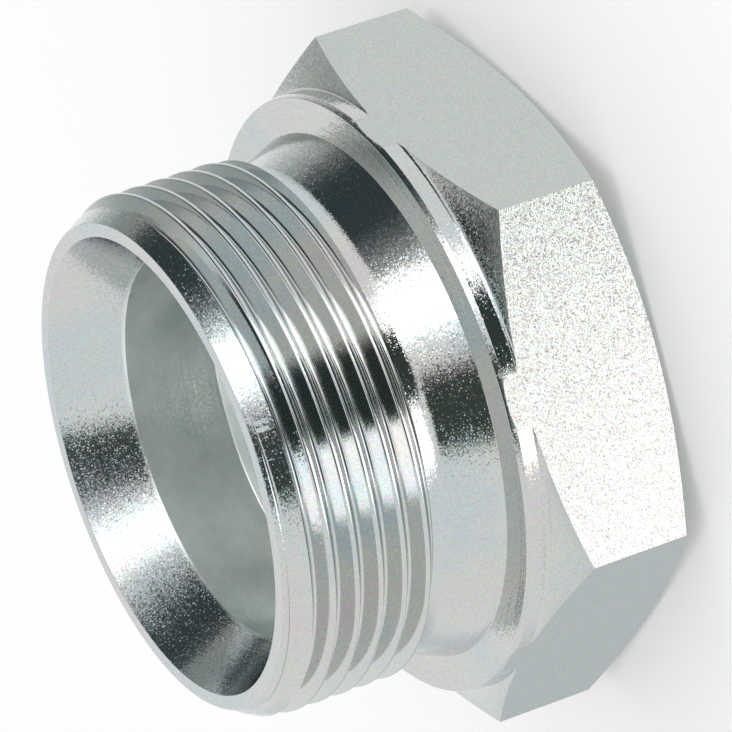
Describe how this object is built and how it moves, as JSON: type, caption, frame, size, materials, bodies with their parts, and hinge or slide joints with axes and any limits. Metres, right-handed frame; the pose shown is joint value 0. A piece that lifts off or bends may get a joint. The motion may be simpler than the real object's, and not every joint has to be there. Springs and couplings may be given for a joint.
{
  "type": "threaded reducing nipple",
  "caption": "Turned steel reducing nipple with a male pipe thread on the nose, a sealing collar, a hexagon and a smaller female port in its back.",
  "frame": {"origin": "centre of the hexagon's flat back face", "axes": "+Z along the thread axis, from the hexagon's back face to the nose; two of the hexagon's corners lie on the Y axis and two of its flats face +X and -X"},
  "size_m": [0.055, 0.0636, 0.0366],
  "materials": {
    "plated_steel": "zinc-plated and clear passivated turned steel, bright with a faint iridescence"
  },
  "bodies": {
    "root": {"reducing_nipple": "plated_steel"}
  },
  "joints": []
}
